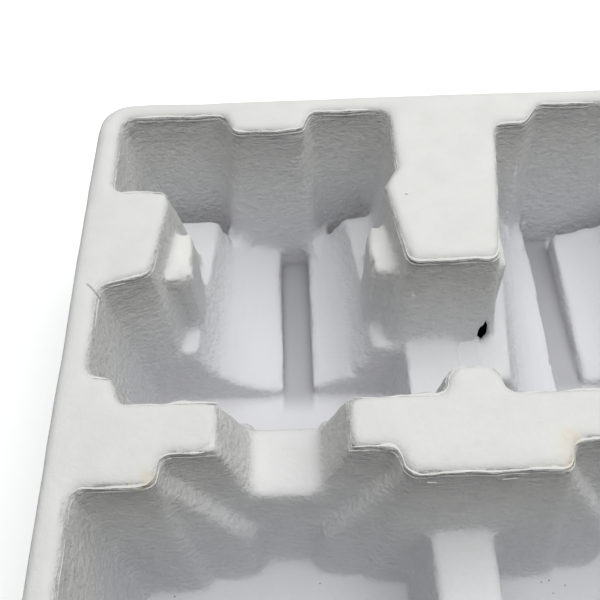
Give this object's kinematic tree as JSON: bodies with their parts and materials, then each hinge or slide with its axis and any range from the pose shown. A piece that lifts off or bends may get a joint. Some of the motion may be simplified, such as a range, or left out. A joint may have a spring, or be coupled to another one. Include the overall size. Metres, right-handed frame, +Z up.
{
  "type": "molded pulp tray",
  "caption": "Molded pulp packing tray with open cells in two rows, a divided cross wall with saddle notches, stacking lugs and a turned-down rim, for packing tapered items on their sides.",
  "frame": {"origin": "middle of the base, on the surface the tray rests on", "axes": "+X across the tray to the right, +Y along the tray to the far end, +Z up out of the cells"},
  "size_m": [0.2836, 0.3116, 0.086],
  "materials": {
    "pulp": "matte fibrous white pulp"
  },
  "bodies": {
    "root": {"tray": "pulp"}
  },
  "joints": []
}
